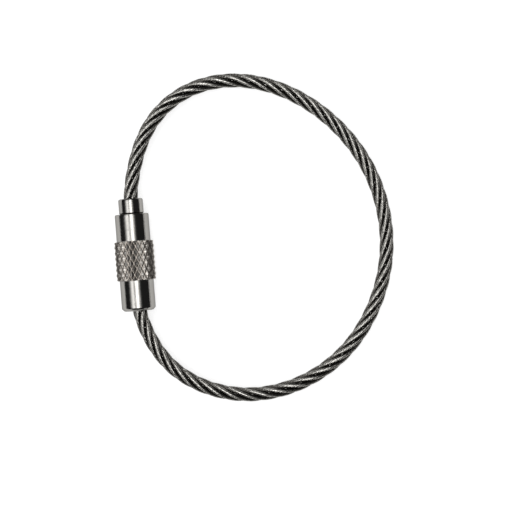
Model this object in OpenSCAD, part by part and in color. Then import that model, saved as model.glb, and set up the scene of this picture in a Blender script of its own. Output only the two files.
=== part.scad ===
// Wire rope key ring: a loop of seven-strand steel rope closed by a knurled screw barrel.
// Everything is laid out in the plane of the loop, with the barrel's axis along Y,
// and then laid on a table: the knurl and the far side of the rope touch Z = 0.

/* [Rope] */
// Diameter of one outer strand
strand_d = 0.78; // [0.7:0.02:0.8]
// Diameter of the core strand
core_d = 0.84; // [0.7:0.02:0.88]
// Length in which an outer strand goes once round the rope
rope_lay = 17.4; // [15:0.2:20]
// Rings in one lay of an outer strand
rings_per_lay = 14; // [12:1:16]
// Gap left in the rope at the two flex points beside the barrel
end_gap = 0.3; // [0.3:0.05:0.5]
// Gap left in the rope at the flex point opposite the barrel
far_gap = 0.5; // [0.4:0.05:0.8]

/* [Barrel] */
// Length of the barrel
barrel_len = 16.5; // [15:0.1:18]
// Diameter of the plain land at the mouth
mouth_land_d = 5.8; // [5.4:0.1:6]
// Diameter of the plain land at the rope end
rear_land_d = 5.8; // [5.4:0.1:6.2]
// Length of the plain land at the mouth
mouth_land_len = 4.65; // [4:0.05:6]
// Diameter over the knurl
knurl_d = 6.8; // [6.5:0.1:7.2]
// Length of the knurled band
knurl_len = 6.65; // [5:0.05:7.5]
// Depth of the knurl
knurl_depth = 0.3; // [0.2:0.05:0.4]
// Diamonds round the knurl
knurl_count = 22; // [18:1:28]
// Half diamonds along the knurl
knurl_halves = 7; // [5:1:12]
// Thickness of the wall that holds the stop ferrule
rear_wall = 1.2; // [1:0.1:1.6]
// Diameter of the hole that the rope leaves by
rear_hole_d = 2.8; // [2.7:0.05:2.9]
// Diameter of the chamber behind the thread
chamber_d = 3.5; // [3.4:0.05:3.6]

/* [Thread] */
// Pitch of the screw thread
pitch = 0.7; // [0.7:0.05:0.8]
// Diameter over the stud's thread
stud_crest_d = 3.9; // [3.8:0.02:3.9]
// Diameter of the stud at the root of its thread
stud_root_d = 3.24; // [3.2:0.02:3.3]
// Diameter of the barrel at the root of its thread
nut_root_d = 4.1; // [4.1:0.05:4.2]
// Inner diameter of the barrel's thread
nut_crest_d = 3.42; // [3.4:0.02:3.5]
// Length of the barrel's thread
nut_len = 5.6; // [4:0.1:6]

/* [Stud] */
// Diameter of the stud's collar
collar_d = 4.2; // [4:0.1:4.6]
// Length of the stud's collar
collar_len = 2.6; // [2:0.1:3]
// Length of the stud's threaded shank
shank_len = 6; // [5:0.1:6]
// Diameter of the stud's rope hole
stud_hole_d = 2.5; // [2.48:0.02:2.6]
// Depth of the stud's rope hole, from the collar's face
stud_hole_len = 7.65; // [7.6:0.05:7.8]

/* [Stop ferrule] */
// Diameter of the stop ferrule
ferrule_d = 3.2; // [3.1:0.05:3.2]
// Length of the stop ferrule
ferrule_len = 4.4; // [4.1:0.1:5]
// Diameter of the stop ferrule's rope hole
ferrule_hole_d = 2.5; // [2.48:0.02:2.56]
// Gap between the stop ferrule and the barrel's rear wall
ferrule_play = 0.05; // [0.05:0.05:0.1]

/* [Hidden] */
$fn = 96;

// The rope's route in the plane of the loop: from its end in the stop ferrule, out of the
// barrel, round the loop and into the stud. Control points of a smooth cubic curve.
route = [
    [0, -4], [0, -6], [0, -8], [0, -10], [1.5, -15], [5, -20.5], [11.5, -24.5], [19.5, -26],
    [28.5, -24], [36.5, -18.5], [42, -9.5], [44, 0.5], [42, 11.5], [36, 20.5], [28, 26.5],
    [19.5, 29], [11.5, 28], [5.5, 24], [2, 18.5], [0, 11], [0, 8], [0, 5], [0, 2]
];
// Distances along the rope of its three flex points.
flex_at = [8, 71.5, 140.1];
// Play between the core strand and the outer strands.
strand_play = 0.02;
// Chamfer of the small edges, and of the barrel's rear edge.
edge = 0.2;
rear_edge = 0.5;
// Run-out of the slopes beside the knurl, and of the thread into the chamber.
run_out = 0.25;
// Gap between the stud's collar and the barrel's mouth when the clasp is shut.
collar_gap = 0.05;
// Flat at the crest of the thread, angle of its flanks, and its segments in one turn.
crest_flat = 0.1;
flank = 30;
turn_segments = 16;

clasp_len = barrel_len + collar_len;
rear_y = -clasp_len / 2;
mouth_y = rear_y + barrel_len;
collar_y = clasp_len / 2;
knurl_to = mouth_y - mouth_land_len;
knurl_from = knurl_to - knurl_len;
strand_r = strand_d / 2;
helix_r = (core_d + strand_d) / 2 + strand_play;
rope_r = helix_r + strand_r;
r_low = knurl_d / 2 - knurl_depth;

// ---- the rope's line ----
steps = 12;
last = len(route) - 1;
control = concat([2 * route[0] - route[1]], route, [2 * route[last] - route[last - 1]]);
function blend4(c, i, u) = (pow(1 - u, 3) * c[i] + (3 * pow(u, 3) - 6 * u * u + 4) * c[i + 1]
    + (-3 * pow(u, 3) + 3 * u * u + 3 * u + 1) * c[i + 2] + pow(u, 3) * c[i + 3]) / 6;
line = [for (i = [0:last - 1]) for (k = [0:steps - 1]) blend4(control, i, k / steps), route[last]];
run = [for (i = 0, s = 0; i < len(line);
    s = s + (i + 1 < len(line) ? norm(line[i + 1] - line[i]) : 0), i = i + 1) s];
line_x = [for (i = [0:len(line) - 1]) [run[i], line[i].x]];
line_y = [for (i = [0:len(line) - 1]) [run[i], line[i].y]];
rope_len = run[len(run) - 1];
// The slope of the loop's plane, from the barrel down to the rope's far side.
tilt = asin((knurl_d / 2 - rope_r) / max([for (p = line) p.x]));

function at(s) = [lookup(s, line_x), lookup(s, line_y), 0];
function along(s) = let (d = at(s + 0.5) - at(s - 0.5)) d / norm(d);
function across(s) = let (t = along(s)) [-t.y, t.x, 0];

// One ring of a strand at distance s. A radius of 0 for the helix gives the core strand.
function ring(s, phase, r_helix, r, sides) = let (
    a = 360 * s / rope_lay + phase,
    out = cos(a) * across(s) + sin(a) * [0, 0, 1],
    round = -sin(a) * across(s) + cos(a) * [0, 0, 1],
    ahead = along(s) + 2 * PI * r_helix / rope_lay * round,
    t = ahead / norm(ahead),
    side = cross(t, out)
) [for (k = [0:sides - 1]) let (b = 360 * k / sides)
    at(s) + r_helix * out + r * (cos(b) * out + sin(b) * side)];

// A closed tube through rings of equal size.
module tube(rings, sides) {
    n = len(rings);
    polyhedron(
        points = [for (g = rings) for (p = g) p],
        faces = concat(
            [[for (k = [0:sides - 1]) k]],
            [for (i = [0:n - 2]) for (k = [0:sides - 1]) for (f = [0, 1]) let (
                a = i * sides + k, b = i * sides + (k + 1) % sides)
                f == 0 ? [a, a + sides, b + sides] : [a, b + sides, b]],
            [[for (k = [sides - 1:-1:0]) (n - 1) * sides + k]]
        )
    );
}

// A stretch of one strand. Strand 0 is the core, which is straight and needs fewer rings.
module strand(number, from, to) {
    is_core = number == 0;
    pace = rope_lay / rings_per_lay * (is_core ? 2 : 1);
    n = max(2, ceil((to - from) / pace));
    r_helix = is_core ? 0 : helix_r;
    r = is_core ? core_d / 2 : strand_r;
    sides = 8;
    color(is_core ? "dimgray" : "slategray")
        on_table()
            tube([for (i = [0:n]) ring(from + (to - from) * i / n, 60 * number, r_helix, r, sides)], sides);
}

// Lays the loop's plane on the table: the rope's far side comes down to it.
module on_table() {
    translate([0, 0, knurl_d / 2]) rotate([0, tilt, 0]) children();
}

// A solid turned about the barrel's axis, from points [radius, y].
module turned(outline) {
    rotate([90, 0, 180]) rotate_extrude() polygon(outline);
}

// A helical ridge between two radii, for a male (outward) or a female (inward) thread.
// It rises from the wall at one end and sinks back into it at the other.
module ridge(root_r, crest_r, from, to, shift) {
    n = round((to - from) / pitch * turn_segments);
    rise = 6;
    root_w = crest_flat + 2 * abs(crest_r - root_r) * tan(flank);
    foot_r = root_r + sign(root_r - crest_r) * 0.1;
    rings = [for (i = [0:n]) let (
        y = from + (to - from) * i / n,
        a = 360 * (y - shift) / pitch,
        height = max(0.1, min(1, i / rise, (n - i) / rise)),
        top_r = root_r + (crest_r - root_r) * height,
        top_w = root_w + (crest_flat - root_w) * height
    ) [for (q = [[foot_r, -root_w], [top_r, -top_w], [top_r, top_w], [foot_r, root_w]])
        [q[0] * sin(a), y + q[1] / 2, q[0] * cos(a)]]];
    outward = crest_r > root_r;
    tube(outward ? [for (g = rings) [g[3], g[2], g[1], g[0]]] : rings, 4);
}

// The diamond knurl: a sleeve of low pyramids, sunk in the barrel's wall. Its points lie
// on a grid, and every other one is the peak of a diamond. The end rows are chamfered.
module knurl() {
    around = 2 * knurl_count;
    rows = knurl_halves;
    inner = nut_root_d / 2 + 0.3;
    outer_ring = [for (j = [0:rows]) for (i = [0:around - 1]) let (
        peak_r = knurl_d / 2 - (j == 0 || j == rows ? knurl_depth / 2 : 0),
        r = (i + j) % 2 == 0 ? peak_r : r_low,
        a = 360 * i / around)
        [r * sin(a), knurl_from + knurl_len * j / rows, r * cos(a)]];
    inner_ring = [for (j = [0, rows]) for (i = [0:around - 1]) let (a = 360 * i / around)
        [inner * sin(a), knurl_from + knurl_len * j / rows, inner * cos(a)]];
    base = len(outer_ring);
    polyhedron(
        points = concat(outer_ring, inner_ring),
        faces = [for (i = [0:around - 1]) let (m = (i + 1) % around) each concat(
            [for (j = [0:rows - 1]) let (
                a = j * around + i, b = j * around + m, c = a + around, d = b + around)
                each (i + j) % 2 == 0 ? [[a, c, b], [b, c, d]] : [[a, c, d], [a, d, b]]],
            [[i, m, base + m], [i, base + m, base + i]],
            [[rows * around + m, rows * around + i, base + around + i],
                [rows * around + m, base + around + i, base + around + m]],
            [[base + i, base + m, base + around + m], [base + i, base + around + m, base + around + i]]
        )]
    );
}

module barrel() {
    r_mouth = mouth_land_d / 2;
    r_rear = rear_land_d / 2;
    r_core = r_low - 0.05;
    r_nut = nut_root_d / 2;
    r_hole = rear_hole_d / 2;
    thread_from = mouth_y - nut_len;
    wall_y = rear_y + rear_wall;
    color("silver") on_table() {
        turned([
            [r_hole + edge, rear_y], [r_rear - rear_edge, rear_y], [r_rear, rear_y + rear_edge],
            [r_rear, knurl_from], [r_core, knurl_from + run_out],
            [r_core, knurl_to - run_out], [r_mouth, knurl_to],
            [r_mouth, mouth_y - edge], [r_mouth - edge, mouth_y],
            [r_nut + edge, mouth_y], [r_nut, mouth_y - edge],
            [r_nut, thread_from], [chamber_d / 2, thread_from - run_out],
            [chamber_d / 2, wall_y], [r_hole, wall_y], [r_hole, rear_y + edge]
        ]);
        knurl();
        ridge(r_nut, nut_crest_d / 2, thread_from + 2 * edge, mouth_y - 2 * edge, pitch / 2);
    }
}

module threaded_stud() {
    tip_y = mouth_y - shank_len;
    seat_y = mouth_y + collar_gap;
    hole_y = collar_y - stud_hole_len;
    r_root = stud_root_d / 2;
    r_collar = collar_d / 2;
    r_hole = stud_hole_d / 2;
    color("silver") on_table() {
        turned([
            [0, tip_y], [r_root - edge, tip_y], [r_root, tip_y + edge],
            [r_root, seat_y], [r_collar - edge, seat_y], [r_collar, seat_y + edge],
            [r_collar, collar_y - edge], [r_collar - edge, collar_y],
            [r_hole + edge / 2, collar_y], [r_hole, collar_y - edge / 2],
            [r_hole, hole_y], [0, hole_y]
        ]);
        ridge(r_root, stud_crest_d / 2, tip_y + 2 * edge, mouth_y - 2 * edge, 0);
    }
}

module stop_ferrule() {
    from = rear_y + rear_wall + ferrule_play;
    to = from + ferrule_len;
    r = ferrule_d / 2;
    hole = ferrule_hole_d / 2;
    color("darkgray") on_table() turned([
        [hole, from], [r - edge, from], [r, from + edge], [r, to - edge], [r - edge, to],
        [hole, to]
    ]);
}

// The stretch of a strand between two flex points.
module lower_end(number) { strand(number, 0, flex_at[0] - end_gap / 2); }
module lower_arc(number) { strand(number, flex_at[0] + end_gap / 2, flex_at[1] - far_gap / 2); }
module upper_arc(number) { strand(number, flex_at[1] + far_gap / 2, flex_at[2] - end_gap / 2); }
module upper_end(number) { strand(number, flex_at[2] + end_gap / 2, rope_len); }

barrel();
threaded_stud();
stop_ferrule();
lower_end(0);  // core_strand_lower_end
lower_arc(0);  // core_strand_lower_arc
upper_arc(0);  // core_strand_upper_arc
upper_end(0);  // core_strand_upper_end
lower_end(1);  // outer_strand_1_lower_end
lower_arc(1);  // outer_strand_1_lower_arc
upper_arc(1);  // outer_strand_1_upper_arc
upper_end(1);  // outer_strand_1_upper_end
lower_end(2);  // outer_strand_2_lower_end
lower_arc(2);  // outer_strand_2_lower_arc
upper_arc(2);  // outer_strand_2_upper_arc
upper_end(2);  // outer_strand_2_upper_end
lower_end(3);  // outer_strand_3_lower_end
lower_arc(3);  // outer_strand_3_lower_arc
upper_arc(3);  // outer_strand_3_upper_arc
upper_end(3);  // outer_strand_3_upper_end
lower_end(4);  // outer_strand_4_lower_end
lower_arc(4);  // outer_strand_4_lower_arc
upper_arc(4);  // outer_strand_4_upper_arc
upper_end(4);  // outer_strand_4_upper_end
lower_end(5);  // outer_strand_5_lower_end
lower_arc(5);  // outer_strand_5_lower_arc
upper_arc(5);  // outer_strand_5_upper_arc
upper_end(5);  // outer_strand_5_upper_end
lower_end(6);  // outer_strand_6_lower_end
lower_arc(6);  // outer_strand_6_lower_arc
upper_arc(6);  // outer_strand_6_upper_arc
upper_end(6);  // outer_strand_6_upper_end
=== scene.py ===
"""Wire rope key ring: a loop of seven-strand steel rope closed by a knurled screw barrel."""

import math

import bmesh
import bpy
import numpy as np
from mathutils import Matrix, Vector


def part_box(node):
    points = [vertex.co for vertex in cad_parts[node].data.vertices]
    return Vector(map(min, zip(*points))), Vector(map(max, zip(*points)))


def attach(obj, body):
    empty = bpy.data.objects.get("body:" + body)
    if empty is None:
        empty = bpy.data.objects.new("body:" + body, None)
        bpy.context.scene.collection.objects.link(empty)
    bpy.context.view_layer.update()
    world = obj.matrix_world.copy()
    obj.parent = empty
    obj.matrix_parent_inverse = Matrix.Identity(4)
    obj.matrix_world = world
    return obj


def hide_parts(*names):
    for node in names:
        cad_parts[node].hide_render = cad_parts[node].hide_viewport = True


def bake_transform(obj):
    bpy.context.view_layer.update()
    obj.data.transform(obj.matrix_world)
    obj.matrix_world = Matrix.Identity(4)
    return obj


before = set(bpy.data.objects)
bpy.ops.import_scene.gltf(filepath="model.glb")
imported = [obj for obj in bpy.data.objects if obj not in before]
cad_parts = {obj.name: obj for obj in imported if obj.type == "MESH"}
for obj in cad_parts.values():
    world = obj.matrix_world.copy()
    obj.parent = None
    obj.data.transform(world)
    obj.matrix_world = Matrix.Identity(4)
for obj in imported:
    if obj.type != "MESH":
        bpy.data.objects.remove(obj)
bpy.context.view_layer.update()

MM = 0.001

# ---- the photograph's view, straight down: how much it spans at the height VIEW_LEVEL ----
VIEW_ROLL = math.radians(-4.5)
VIEW_WIDTH = 87.8 * MM
VIEW_CENTRE = (20.6 * MM, -1.84 * MM)
VIEW_LEVEL = 2 * MM
LENS = 100.0
SENSOR = 36.0

# ---- the rope: its route's control points in the plane of the loop, as in part.scad ----
ROUTE = MM * np.array([
    (0, -4), (0, -6), (0, -8), (0, -10), (1.5, -15), (5, -20.5), (11.5, -24.5), (19.5, -26),
    (28.5, -24), (36.5, -18.5), (42, -9.5), (44, 0.5), (42, 11.5), (36, 20.5), (28, 26.5),
    (19.5, 29), (11.5, 28), (5.5, 24), (2, 18.5), (0, 11), (0, 8), (0, 5), (0, 2),
])
ROPE_D = 2.44 * MM
ROPE_LAY = 17.4 * MM
HELIX_R = 0.83 * MM
CORE_R = 0.42 * MM
CORE_SIDES = 12
STRANDS = 6
STRAND_R = 0.382 * MM
WIRES = 12
# How far the wires turn round their strand, in radians for each metre of rope.
WIRE_TURN = 1.13 / MM
# One wire's pressed face round its strand: places across it, and how far each lies below the crown.
WIRE_ACROSS = np.array([0, 0.03, 0.08, 0.5, 0.92, 0.97])
WIRE_BELOW = MM * np.array([0.04, 0.008, 0.001, 0, 0.001, 0.008])
# Which faces across a wire lie in the groove between two wires; these get painted shade.
WIRE_IN_GROOVE = np.array([True, False, False, False, False, True])
# Further than this round from a strand's outer side, its skin lies in the valley between two strands and is
# given painted shade.
SHADE_PAINTED_FROM = math.radians(48)
# Distances along the rope where its three drawn pieces meet.
ROPE_CUTS = (40 * MM, 106 * MM)
RING_STEP = 0.3 * MM

# ---- the clasp's knurl ----
KNURL_R = 3.4 * MM
KNURL_ROOT_R = 3.1 * MM
KNURL_DEPTH = 0.3 * MM
KNURL_COUNT = 22
KNURL_HALF_ROWS = 7
KNURL_FROM_MOUTH = (11.3 * MM, 4.65 * MM)
KNURL_RUN_OUT = 0.3 * MM
KNURL_EDGE_HEIGHT = 0.4
# A diamond's crown: how blunt it is, how much it is raised, and where its top is cut flat.
CROWN_BLUNT, CROWN_GAIN, CROWN_TOP = 0.1, 1.12, 0.97
# Outside this radius a turned piece is knurled. Between the other two, the knurl's darker, browner colour at
# its roots fades out.
KNURLED_FROM = 2.97 * MM
DARKER_ROOTS_R = (3.12 * MM, 3.3 * MM)

# ---- the rest of the clasp: radii, lengths and the screw thread ----
LAND_R = 2.9 * MM
CHAMBER_R = 1.75 * MM
REAR_HOLE_R = 1.4 * MM
NUT_ROOT_R, NUT_CREST_R = 2.05 * MM, 1.71 * MM
STUD_ROOT_R, STUD_CREST_R = 1.62 * MM, 1.95 * MM
COLLAR_R = 2.1 * MM
SHANK_LEN = 6 * MM
STUD_HOLE_R, STUD_HOLE_DEPTH = 1.25 * MM, 7.65 * MM
FERRULE_R, FERRULE_HOLE_R = 1.6 * MM, 1.26 * MM
CRIMP_DEPTH = 0.05 * MM
PITCH = 0.7 * MM
THREAD_FLAT = 0.05 * MM
THREAD_FADE = 0.3 * MM
FLANK = math.radians(30)
# Spacing of the rings on plain and on shaped stretches, and the points in a ring.
PLAIN_STEP, SHAPED_STEP = 0.25 * MM, 0.06 * MM
BARREL_SIDES, STUD_SIDES, FERRULE_SIDES = KNURL_COUNT * 12, 128, 96

# ---- the soft box overhead, in strips along Y that fade to both sides, with a gap west of the middle ----
# Each strip's west edge, its east edge and its radiance.
SOFT_BOX = (
    (-0.6, -0.51, 0.25), (-0.51, -0.44, 0.6), (-0.44, -0.36, 1.3), (-0.36, -0.29, 2.3),
    (-0.29, -0.165, 2.8), (-0.1, 0.06, 2.8), (0.06, 0.1, 2.2), (0.1, 0.145, 1.3),
    (0.145, 0.19, 0.45), (0.19, 0.24, 0.15),
)
SOFT_BOX_REACH = 0.28
SOFT_BOX_HEIGHT = 0.5
LAMP_WEST, LAMP_EAST, LAMP_HEIGHT, LAMP_RADIANCE = -0.005, 0.045, 0.49, 4

# ---- the floor, how strongly it glows near the object and far off, and what is round it ----
FLOOR_HALF = 3.0
GLOW_NEAR, GLOW_FAR = 0.76, 0.97
GLOW_RISES = (0.12, 1.0)
SURROUND_LIGHT = (0.03, 0.03, 0.031, 1)
BACKDROP = (0.95, 0.95, 0.95, 1)


# ---------------------------------------------------------------- camera
def make_camera():
    data = bpy.data.cameras.new("camera")
    data.lens, data.sensor_width = LENS, SENSOR
    data.clip_start, data.clip_end = 0.01, 10
    camera = bpy.data.objects.new("camera", data)
    bpy.context.collection.objects.link(camera)
    height = VIEW_WIDTH / 2 / (SENSOR / 2 / LENS)
    camera.location = (*VIEW_CENTRE, height + VIEW_LEVEL)
    camera.rotation_euler = (0, 0, VIEW_ROLL)
    bpy.context.scene.camera = camera


# ---------------------------------------------------------------- the rope's line
def smooth_line(points, steps=12):
    """The uniform cubic curve that part.scad draws, from the first point to the last."""
    c = np.vstack([2 * points[0] - points[1], points, 2 * points[-1] - points[-2]])
    u = (np.arange(steps) / steps)[:, None]
    w = ((1 - u) ** 3, 3 * u**3 - 6 * u**2 + 4, -3 * u**3 + 3 * u**2 + 3 * u + 1, u**3)
    spans = [sum(w[k] * c[i + k] for k in range(4)) / 6 for i in range(len(c) - 3)]
    return np.vstack([*spans, points[-1:]])


def smoothed(values, reach=6):
    """A running mean that keeps the ends, so that facets of the line don't show."""
    padded = np.pad(values, (reach, reach), mode="reflect", reflect_type="odd")
    return np.convolve(padded, np.ones(2 * reach + 1) / (2 * reach + 1), mode="valid")


LINE = smooth_line(ROUTE)
RUN = np.concatenate([[0], np.cumsum(np.linalg.norm(np.diff(LINE, axis=0), axis=1))])
ROPE_LEN = RUN[-1]
TILT = math.asin((KNURL_R - ROPE_D / 2) / LINE[:, 0].max())
E_X = np.array([math.cos(TILT), 0, -math.sin(TILT)])
E_Y = np.array([0, 1, 0])
E_N = np.array([math.sin(TILT), 0, math.cos(TILT)])
AXIS_AT = np.array([0, 0, KNURL_R])


def rope_frames(s):
    """Centre, direction and the two cross directions of the rope at each distance in s."""
    fine = np.arange(0, ROPE_LEN + RING_STEP / 2, RING_STEP)
    x, y = (smoothed(np.interp(fine, RUN, LINE[:, k])) for k in (0, 1))
    dx, dy = np.gradient(x), np.gradient(y)
    size = np.hypot(dx, dy)
    x, y, dx, dy = (np.interp(s, fine, v) for v in (x, y, dx / size, dy / size))
    centre = AXIS_AT + x[:, None] * E_X + y[:, None] * E_Y
    along = dx[:, None] * E_X + dy[:, None] * E_Y
    across = -dy[:, None] * E_X + dx[:, None] * E_Y
    return centre, along, across, np.broadcast_to(E_N, centre.shape)


def unit(v):
    return v / np.linalg.norm(v, axis=1)[:, None]


# ---------------------------------------------------------------- mesh helpers
class Build:
    """Gathers vertices and faces, then makes one object."""

    def __init__(self):
        self.verts, self.faces, self.slots, self.count = [], [], [], 0

    def add(self, verts, faces, slots=()):
        """The faces at the front of the list may be given material slots; the rest get slot 0."""
        self.verts.append(np.asarray(verts).reshape(-1, 3))
        self.faces.append([[i + self.count for i in f] for f in faces])
        self.slots += [*slots, *[0] * (len(faces) - len(slots))]
        self.count += len(self.verts[-1])

    def tube(self, line, radius, sides):
        """A closed round tube along a line of points."""
        t = unit(np.gradient(line, axis=0))
        up = np.broadcast_to(E_N, t.shape)
        side = unit(np.cross(t, up) + 1e-9)
        up = np.cross(side, t)
        b = 2 * math.pi * np.arange(sides) / sides
        ring = np.cos(b)[None, :, None] * side[:, None] + np.sin(b)[None, :, None] * up[:, None]
        self.grid(line[:, None] + radius * ring, caps=True)

    def grid(self, p, caps=False, slots=()):
        """Rings of points joined into a skin that closes round each ring."""
        n, m = p.shape[:2]
        i, k = np.meshgrid(np.arange(n - 1), np.arange(m), indexing="ij")
        a = i * m + k
        b = i * m + (k + 1) % m
        quads = np.stack([a, b, b + m, a + m], -1).reshape(-1, 4).tolist()
        if caps:
            quads.append(list(range(m - 1, -1, -1)))
            quads.append([(n - 1) * m + k for k in range(m)])
        self.add(p, quads, slots)

    def object(self, name, *materials, smooth=True):
        mesh = bpy.data.meshes.new(name)
        mesh.from_pydata(np.vstack(self.verts).tolist(), [], [f for g in self.faces for f in g])
        mesh.polygons.foreach_set("material_index", self.slots)
        mesh.validate()
        mesh.polygons.foreach_set("use_smooth", [smooth] * len(mesh.polygons))
        mesh.set_sharp_from_angle(angle=math.radians(75))
        for material in materials:
            mesh.materials.append(material)
        made = bpy.data.objects.new(name, mesh)
        bpy.context.collection.objects.link(made)
        return made


# ---------------------------------------------------------------- materials
class Shader:
    """A node material whose parts are added by short calls."""

    def __init__(self, name):
        self.material = bpy.data.materials.new(name)
        self.material.use_nodes = True
        self.nodes = self.material.node_tree.nodes
        self.links = self.material.node_tree.links
        self.main = self.nodes["Principled BSDF"]
        self.place = self.nodes.new("ShaderNodeTexCoord").outputs["Object"]

    def node(self, kind, inputs=(), **settings):
        made = self.nodes.new(kind)
        for key, value in settings.items():
            setattr(made, key, value)
        for key, value in dict(inputs).items():
            if hasattr(value, "is_output"):
                self.links.new(value, made.inputs[key])
            else:
                made.inputs[key].default_value = value
        return made

    def math(self, operation, a, b=0.0):
        return self.node("ShaderNodeMath", {0: a, 1: b}, operation=operation).outputs[0]

    def noise(self, scale, detail=2.0, rough=0.5, vector=None, w=None):
        inputs = {"Scale": scale, "Detail": detail, "Roughness": rough}
        if w is not None:
            made = self.node("ShaderNodeTexNoise", {**inputs, "W": w}, noise_dimensions="1D")
        else:
            made = self.node("ShaderNodeTexNoise", {**inputs, "Vector": vector or self.place})
        return made.outputs["Fac"]

    def ramp(self, value, low, high, start=0.0, end=1.0):
        return self.node("ShaderNodeMapRange", {
            "Value": value, "From Min": start, "From Max": end, "To Min": low, "To Max": high,
        }).outputs["Result"]

    def mix(self, fac, a, b):
        made = self.node("ShaderNodeMix", data_type="RGBA")
        self.links.new(fac, made.inputs["Factor"])
        for key, value in (("A", a), ("B", b)):
            socket = next(x for x in made.inputs if x.name == key and x.type == "RGBA")
            if hasattr(value, "is_output"):
                self.links.new(value, socket)
            else:
                socket.default_value = (*value, 1)
        return next(x for x in made.outputs if x.type == "RGBA")

    def bump(self, height, distance, strength=1.0, normal=None):
        inputs = {"Height": height, "Distance": distance, "Strength": strength}
        if normal is not None:
            inputs["Normal"] = normal
        return self.node("ShaderNodeBump", inputs).outputs["Normal"]

    def set(self, **sockets):
        for name, value in sockets.items():
            socket = self.main.inputs[name.replace("_", " ")]
            if hasattr(value, "is_output"):
                self.links.new(value, socket)
            else:
                socket.default_value = value


def turned_steel():
    """Stainless steel as it leaves the lathe: fine rings round Y, faint scratches, and a darker, browner
    colour towards the knurl's roots.
    """
    s = Shader("turned_steel")
    split = s.node("ShaderNodeSeparateXYZ", {0: s.place})
    y = split.outputs["Y"]
    height = s.math("SUBTRACT", split.outputs["Z"], KNURL_R)
    radius = s.math("SQRT", s.math("ADD", s.math("MULTIPLY", split.outputs["X"], split.outputs["X"]),
                                   s.math("MULTIPLY", height, height)))
    rings = s.noise(8000, 2, 0.5, w=y)
    coarse = s.noise(3000, 2, 0.5, w=y)
    patches = s.noise(500, 4, 0.6)
    scratches = s.noise(2500, 2, 0.4, vector=s.node(
        "ShaderNodeMapping", {"Vector": s.place, "Scale": (1.0, 0.08, 1.0)}).outputs["Vector"])
    knurled = s.math("GREATER_THAN", radius, KNURLED_FROM)
    # Darker and browner towards the knurl's roots.
    darker_roots = s.math("MULTIPLY", s.ramp(radius, 1, 0, *DARKER_ROOTS_R), knurled)
    tone = s.mix(patches, (0.31, 0.3, 0.285), (0.36, 0.35, 0.33))
    lands_and_knurl = s.mix(knurled, tone, (0.46, 0.44, 0.41))
    s.set(
        Metallic=1.0,
        Base_Color=s.mix(s.math("MULTIPLY", darker_roots, 0.7), lands_and_knurl, (0.24, 0.205, 0.175)),
        Specular_Tint=(0.5, 0.5, 0.5, 1),
        Roughness=s.math("ADD", s.ramp(patches, 0.06, 0.12), s.math("MULTIPLY", knurled, 0.22)),
        Normal=s.bump(scratches, 0.004 * MM, 0.25, s.bump(
            s.math("ADD", rings, coarse), 0.02 * MM, 1.0)),
    )
    return s.material


def rope_wire():
    """Drawn stainless wire, slightly warm, with dull and bright stretches and faint draw marks."""
    s = Shader("rope_wire")
    patches = s.noise(900, 3, 0.6)
    fine = s.noise(9000, 2, 0.5)
    worn = s.ramp(s.noise(2600, 2, 0.5), 0, 1, 0.38, 0.62)
    s.set(
        Metallic=1.0,
        Base_Color=s.mix(worn, (0.22, 0.215, 0.2), (0.42, 0.41, 0.385)),
        Specular_Tint=(0.2, 0.2, 0.2, 1),
        Roughness=s.ramp(patches, 0.05, 0.1),
        Normal=s.bump(fine, 0.002 * MM, 0.3),
    )
    return s.material


def rope_valley_shade():
    """Painted shade: the sides of the strands where they meet, and the grooves between wires, in a darker and
    duller copy of the wire's steel.
    """
    s = Shader("rope_valley_shade")
    patches = s.noise(900, 3, 0.6)
    s.set(
        Metallic=1.0,
        Base_Color=s.mix(patches, (0.05, 0.047, 0.042), (0.12, 0.114, 0.104)),
        Roughness=s.ramp(patches, 0.2, 0.35),
        Normal=s.bump(s.noise(9000, 2, 0.5), 0.002 * MM, 0.3),
    )
    return s.material


def crimped_metal():
    """The stop ferrule: dull aluminium with die marks."""
    s = Shader("ferrule")
    patches = s.noise(700, 3, 0.6)
    s.set(
        Metallic=1.0,
        Base_Color=s.mix(patches, (0.62, 0.62, 0.63), (0.74, 0.74, 0.75)),
        Roughness=s.ramp(patches, 0.3, 0.45),
        Normal=s.bump(s.noise(3500, 3, 0.6), 0.01 * MM, 0.6),
    )
    return s.material


def paper_floor():
    """Pale paper that gives off most of its light itself, more of it where the soft box doesn't reach."""
    s = Shader("paper")
    away = s.node("ShaderNodeVectorMath", {0: s.place}, operation="LENGTH").outputs["Value"]
    grain = s.noise(300, 3, 0.6)
    s.set(
        Base_Color=s.mix(grain, (0.5, 0.5, 0.5), (0.54, 0.54, 0.54)),
        Roughness=0.9,
        Specular_IOR_Level=0.1,
        Emission_Color=(1, 1, 1, 1),
        Emission_Strength=s.ramp(away, GLOW_NEAR, GLOW_FAR, *GLOW_RISES),
    )
    return s.material


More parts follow.
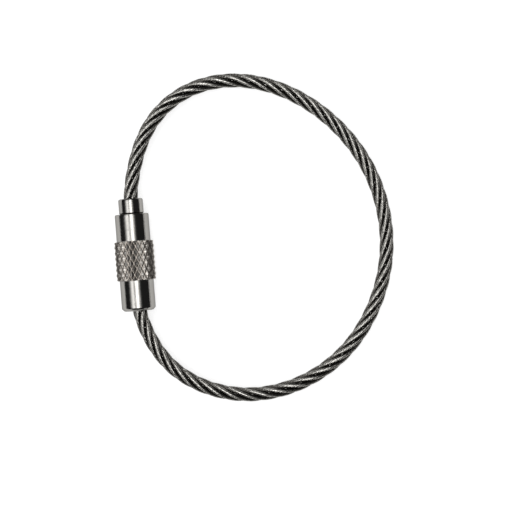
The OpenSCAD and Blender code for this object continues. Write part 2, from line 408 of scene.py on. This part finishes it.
# ---------------------------------------------------------------- pieces
def rope_piece(name, start, stop, materials):
    """A stretch of the rope: a plain core and the outer strands, each with its outer wires in its skin."""
    s = np.linspace(start, stop, int(round((stop - start) / RING_STEP)) + 1)
    centre, along, across, up = rope_frames(s)
    made = Build()
    made.tube(centre, CORE_R, CORE_SIDES)
    twist = 2 * math.pi / ROPE_LAY
    round_strand = (np.arange(WIRES)[:, None] + WIRE_ACROSS).ravel() * 2 * math.pi / WIRES
    skin_r = np.tile(STRAND_R - WIRE_BELOW, WIRES)
    in_groove = np.tile(WIRE_IN_GROOVE, WIRES)
    for k in range(1, STRANDS + 1):
        a = (twist * s + math.radians(60 * k))[:, None]
        out = np.cos(a) * across + np.sin(a) * up
        turn = -np.sin(a) * across + np.cos(a) * up
        ahead = unit(along + HELIX_R * twist * turn)
        side = np.cross(ahead, out)
        b = round_strand - WIRE_TURN * s[:, None]
        skin = np.cos(b)[..., None] * out[:, None] + np.sin(b)[..., None] * side[:, None]
        # Faces in the wire grooves and in the valleys between strands take the second material, painted
        # shade.
        shaded_faces = in_groove | (np.cos(b[:-1] + math.pi / len(round_strand)) < math.cos(SHADE_PAINTED_FROM))
        made.grid((centre + HELIX_R * out)[:, None] + skin_r[:, None] * skin, caps=True,
                  slots=shaded_faces.astype(int).ravel().tolist())
    piece = made.object(name, *materials)
    return piece


STRAND_NAMES = ["core_strand"] + [f"outer_strand_{k}" for k in range(1, STRANDS + 1)]


def make_rope(*materials):
    low_cut, high_cut = ROPE_CUTS
    lower = rope_piece("rope_lower", 0, low_cut, materials)
    far = rope_piece("rope_far", low_cut, high_cut, materials)
    upper = rope_piece("rope_upper", high_cut, ROPE_LEN, materials)
    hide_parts(*[f"{n}_lower_end" for n in STRAND_NAMES])
    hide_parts(*[f"{n}_{w}" for n in STRAND_NAMES for w in ("lower_arc", "upper_arc")])
    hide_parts(*[f"{n}_upper_end" for n in STRAND_NAMES])
    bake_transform(lower)
    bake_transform(far)
    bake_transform(upper)


def lathe(points, radius_at, sides):
    """Rings round the clasp's axis. radius_at(r, y, angle) may shape each ring."""
    b = 2 * math.pi * np.arange(sides) / sides
    r, y = np.array(points).T
    rr = radius_at(r[:, None], y[:, None], b[None, :])
    return np.stack([rr * np.sin(b), np.broadcast_to(y[:, None], rr.shape),
                     AXIS_AT[2] + rr * np.cos(b)], -1)


def rows(points, step):
    """Points of an outline with more put in where two are further apart than step."""
    out = [points[0]]
    for a, b in zip(points, points[1:]):
        n = max(1, math.ceil(math.dist(a, b) / step))
        out += [tuple(np.array(a) + (np.array(b) - a) * k / n) for k in range(1, n + 1)]
    return out


def plain(r, y, b):
    """Rings as the outline gives them."""
    return r + 0 * b


def screw(y, b, root_r, crest_r, low_y, high_y, shift):
    """A helical ridge whose flanks stand 60 degrees apart, from root_r to crest_r, faded at both ends."""
    turns = (y - shift) / PITCH - b / (2 * math.pi)
    d = np.abs(turns - np.round(turns)) * PITCH
    flank = np.clip(1 - (d - THREAD_FLAT) / (abs(crest_r - root_r) * math.tan(FLANK)), 0, 1)
    fade = np.clip(np.minimum(y - low_y, high_y - y) / THREAD_FADE, 0, 1)
    return root_r + (crest_r - root_r) * flank * fade


def make_barrel(material):
    """The barrel, drawn from its rear hole over the knurl to its mouth and back through its inside."""
    box_lo, box_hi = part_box("barrel")
    rear, mouth = box_lo[1], box_hi[1]
    knurl_lo, knurl_hi = (mouth - back for back in KNURL_FROM_MOUTH)
    outline = rows([
        (1.6 * MM, rear), (2.4 * MM, rear), (2.5 * MM, rear + 0.04 * MM), (2.83 * MM, rear + 0.37 * MM),
        (2.88 * MM, rear + 0.46 * MM), (LAND_R, rear + 0.55 * MM), (LAND_R, knurl_lo - 0.05 * MM),
        (2.95 * MM, knurl_lo)], PLAIN_STEP)
    knurled = rows([(KNURL_ROOT_R, knurl_lo + 0.01 * MM), (KNURL_ROOT_R, knurl_hi - 0.01 * MM)], SHAPED_STEP)
    front = rows([
        (2.95 * MM, knurl_hi), (LAND_R, knurl_hi + 0.05 * MM), (LAND_R, mouth - 0.2 * MM),
        (2.85 * MM, mouth - 0.06 * MM), (2.72 * MM, mouth), (2.25 * MM, mouth),
        (NUT_ROOT_R, mouth - 0.2 * MM)], PLAIN_STEP)
    threaded = rows([(NUT_ROOT_R, mouth - 0.25 * MM), (NUT_ROOT_R, mouth - 5.6 * MM)], SHAPED_STEP)
    inside = rows([
        (CHAMBER_R, mouth - 5.9 * MM), (CHAMBER_R, rear + 1.2 * MM), (REAR_HOLE_R, rear + 1.2 * MM),
        (REAR_HOLE_R, rear + 0.2 * MM), (1.6 * MM, rear)], 2 * PLAIN_STEP)

    def knurl(r, y, b):
        a = KNURL_COUNT * b / (2 * math.pi)
        c = (y - knurl_lo) / (2 * (knurl_hi - knurl_lo) / KNURL_HALF_ROWS)
        low = np.maximum(np.abs(a + c - np.round(a + c)), np.abs(a - c - np.round(a - c)))
        crown = np.sqrt((1 - 2 * low) ** 2 + CROWN_BLUNT**2) - CROWN_BLUNT
        from_end = np.minimum(y - knurl_lo, knurl_hi - y)
        edge = np.clip(KNURL_EDGE_HEIGHT + from_end / KNURL_RUN_OUT, 0, 1)
        return r + KNURL_DEPTH * np.minimum(crown * CROWN_GAIN, CROWN_TOP) * edge

    def thread(r, y, b):
        return screw(y, b, NUT_ROOT_R, NUT_CREST_R, mouth - 5.4 * MM, mouth - 0.35 * MM, PITCH / 2)

    parts = [lathe(p, f, BARREL_SIDES) for p, f in (
        (outline, plain), (knurled, knurl), (front, plain), (threaded, thread), (inside, plain))]
    made = Build()
    made.grid(np.vstack(parts))
    piece = made.object("barrel_body", material)
    finish_clasp_piece(piece, "barrel", "barrel")


def make_stud(material):
    """The threaded stud, drawn from its tip over the thread and the collar and down its rope hole."""
    box_lo, box_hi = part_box("threaded_stud")
    tip, top = box_lo[1], box_hi[1]
    mouth = tip + SHANK_LEN
    shank = rows([(0.02 * MM, tip), (1.32 * MM, tip), (STUD_ROOT_R, tip + 0.3 * MM)], 0.2 * MM)
    threaded = rows([(STUD_ROOT_R, tip + 0.32 * MM), (STUD_ROOT_R, mouth - 0.2 * MM)], SHAPED_STEP)
    collar = rows([
        (STUD_ROOT_R, mouth + 0.05 * MM), (1.95 * MM, mouth + 0.05 * MM), (COLLAR_R, mouth + 0.2 * MM),
        (COLLAR_R, top - 0.25 * MM), (2.03 * MM, top - 0.08 * MM), (1.9 * MM, top),
        (1.35 * MM, top), (STUD_HOLE_R, top - 0.1 * MM), (STUD_HOLE_R, top - STUD_HOLE_DEPTH),
        (0.02 * MM, top - STUD_HOLE_DEPTH)], PLAIN_STEP)

    def thread(r, y, b):
        return screw(y, b, STUD_ROOT_R, STUD_CREST_R, tip + 0.4 * MM, mouth - 0.35 * MM, 0)

    parts = [lathe(p, f, STUD_SIDES) for p, f in ((shank, plain), (threaded, thread), (collar, plain))]
    made = Build()
    made.grid(np.vstack(parts), caps=True)
    piece = made.object("stud_body", material)
    finish_clasp_piece(piece, "threaded_stud", "stud_end")


def make_ferrule(material):
    """The stop ferrule, squeezed a little from six sides."""
    box_lo, box_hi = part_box("stop_ferrule")
    low, high = box_lo[1], box_hi[1]

    def crimp(r, y, b):
        round_it = np.exp(-(np.cos(3 * b) / 0.3) ** 2)
        along_it = np.sin(math.pi * (y - low) / (high - low)) ** 2
        return np.where(r > 1.5 * MM, r - CRIMP_DEPTH * round_it * along_it, r + 0 * b)

    outline = rows([
        (FERRULE_HOLE_R, low), (1.4 * MM, low), (FERRULE_R, low + 0.2 * MM), (FERRULE_R, high - 0.2 * MM),
        (1.4 * MM, high), (FERRULE_HOLE_R, high), (FERRULE_HOLE_R, low)], 0.2 * MM)
    made = Build()
    made.grid(lathe(outline, crimp, FERRULE_SIDES))
    piece = made.object("ferrule_body", material)
    finish_clasp_piece(piece, "stop_ferrule", "rope_foot")


def finish_clasp_piece(piece, node, body):
    """Closes a turned piece's seams, keeps its edges crisp and puts it on its body."""
    bm = bmesh.new()
    bm.from_mesh(piece.data)
    bmesh.ops.remove_doubles(bm, verts=bm.verts, dist=0.002 * MM)
    bmesh.ops.recalc_face_normals(bm, faces=bm.faces)
    bm.to_mesh(piece.data)
    bm.free()
    piece.data.set_sharp_from_angle(angle=math.radians(35))
    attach(piece, body)
    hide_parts(node)


# ---------------------------------------------------------------- surroundings
def area_light(name, low, high, height, radiance):
    """An evenly bright panel over the table, between two corners, shining down."""
    data = bpy.data.lights.new(name, "AREA")
    data.shape = "RECTANGLE"
    data.size, data.size_y = high[0] - low[0], high[1] - low[1]
    data.energy = radiance * data.size * data.size_y * math.pi
    made = bpy.data.objects.new(name, data)
    made.location = ((low[0] + high[0]) / 2, (low[1] + high[1]) / 2, height)
    bpy.context.collection.objects.link(made)


def make_surroundings():
    floor = Build()
    h = FLOOR_HALF
    floor.add([(-h, -h, 0), (h, -h, 0), (h, h, 0), (-h, h, 0)], [(0, 1, 2, 3)])
    floor.object("floor", paper_floor(), smooth=False)
    reach = SOFT_BOX_REACH
    for i, (west, east, radiance) in enumerate(SOFT_BOX):
        area_light(f"soft_box_{i + 1}", (west, -reach), (east, reach), SOFT_BOX_HEIGHT, radiance)
    area_light("lamp", (LAMP_WEST, -reach), (LAMP_EAST, reach), LAMP_HEIGHT, LAMP_RADIANCE)
    world = bpy.data.worlds.new("studio")
    world.use_nodes = True
    bpy.context.scene.world = world
    nodes, links = world.node_tree.nodes, world.node_tree.links
    back = nodes["Background"]
    seen = nodes.new("ShaderNodeBackground")
    seen.inputs["Color"].default_value = BACKDROP
    back.inputs["Color"].default_value = SURROUND_LIGHT
    mix = nodes.new("ShaderNodeMixShader")
    links.new(nodes.new("ShaderNodeLightPath").outputs["Is Camera Ray"], mix.inputs[0])
    links.new(back.outputs[0], mix.inputs[1])
    links.new(seen.outputs[0], mix.inputs[2])
    links.new(mix.outputs[0], nodes["World Output"].inputs["Surface"])
    bpy.context.scene.view_settings.view_transform = "Standard"


make_camera()
steel = turned_steel()
make_rope(rope_wire(), rope_valley_shade())
make_barrel(steel)
make_stud(steel)
make_ferrule(crimped_metal())
make_surroundings()
